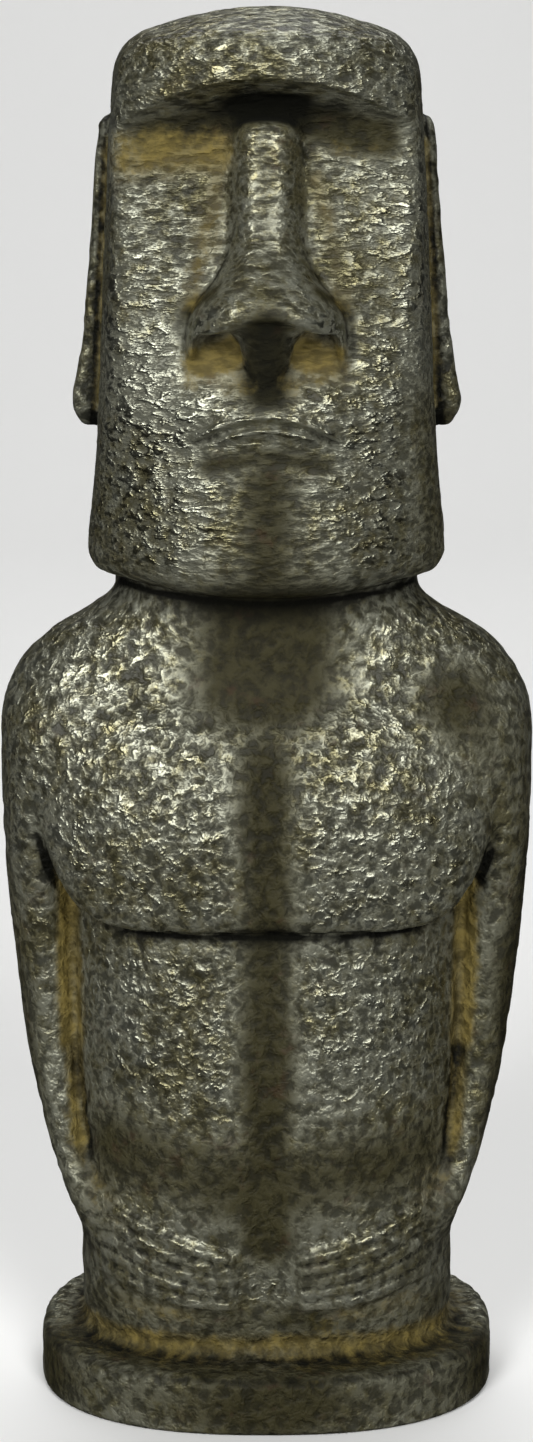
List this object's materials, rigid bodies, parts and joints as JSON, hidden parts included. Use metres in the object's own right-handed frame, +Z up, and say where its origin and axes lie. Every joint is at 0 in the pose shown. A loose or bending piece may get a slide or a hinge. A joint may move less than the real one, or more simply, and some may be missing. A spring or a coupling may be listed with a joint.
{
  "type": "moai statuette",
  "caption": "Standing stylised stone-head figure on an oval base: long block head, arms at its sides, hands on its belly.",
  "frame": {"origin": "middle of the underside of the oval base, at the middle of its width and depth", "axes": "+Z up along the figure, the face looks along -Y, +X is the figure's left and the viewer's right"},
  "size_m": [0.0695, 0.0509, 0.18],
  "materials": {
    "patinated_resin": "satin"
  },
  "bodies": {
    "root": {"moai_figure": "patinated_resin"}
  },
  "joints": []
}
